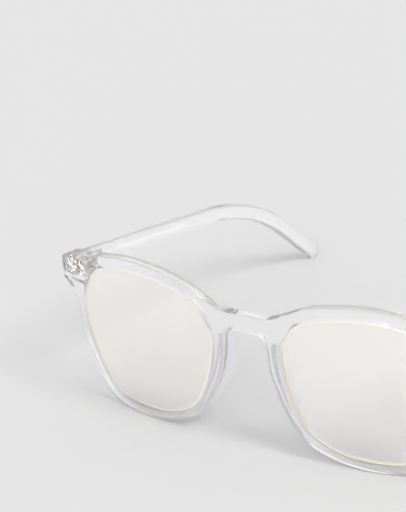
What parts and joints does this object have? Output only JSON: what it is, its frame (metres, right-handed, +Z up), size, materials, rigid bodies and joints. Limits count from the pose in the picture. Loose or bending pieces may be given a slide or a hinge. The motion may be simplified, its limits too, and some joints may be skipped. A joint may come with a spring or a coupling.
{
  "type": "blue light glasses",
  "caption": "Clear full-rim blue light glasses with tinted lenses, bonded nose pads and folding temples on metal hinges.",
  "frame": {"origin": "under the middle of the open glasses, on the surface they stand on", "axes": "+X to the wearer's left, +Y from the front towards the temple tips, +Z up"},
  "size_m": [0.1384, 0.1579, 0.0501],
  "materials": {
    "clear_frame": "polished clear crystal plastic",
    "nose_pad": "polished clear crystal plastic, bonded to the rim",
    "lens": "clear lens with a faint warm tint and a faint lilac coating reflection",
    "hinge_metal": "polished nickel silver",
    "temple_print": "white pad-printed marks"
  },
  "bodies": {
    "front": {"front_frame": "clear_frame", "left_lens": "lens", "right_lens": "lens", "left_nose_pad": "nose_pad", "right_nose_pad": "nose_pad", "left_front_hinge": "hinge_metal", "right_front_hinge": "hinge_metal", "left_hinge_screw": "hinge_metal", "right_hinge_screw": "hinge_metal"},
    "left_temple_body": {"left_temple": "clear_frame", "left_temple_hinge": "hinge_metal"},
    "right_temple_body": {"right_temple": "clear_frame", "right_temple_hinge": "hinge_metal"}
  },
  "joints": [
    {"name": "left_fold", "type": "hinge", "parent": "front", "child": "left_temple_body", "pos_m": [0.06165, -0.06, 0.0404], "axis": [0, 0.0941, 0.9956], "range_deg": [0, 90]},
    {"name": "right_fold", "type": "hinge", "parent": "front", "child": "right_temple_body", "pos_m": [-0.06165, -0.06, 0.0404], "axis": [0, -0.0941, -0.9956], "range_deg": [0, 80]}
  ]
}
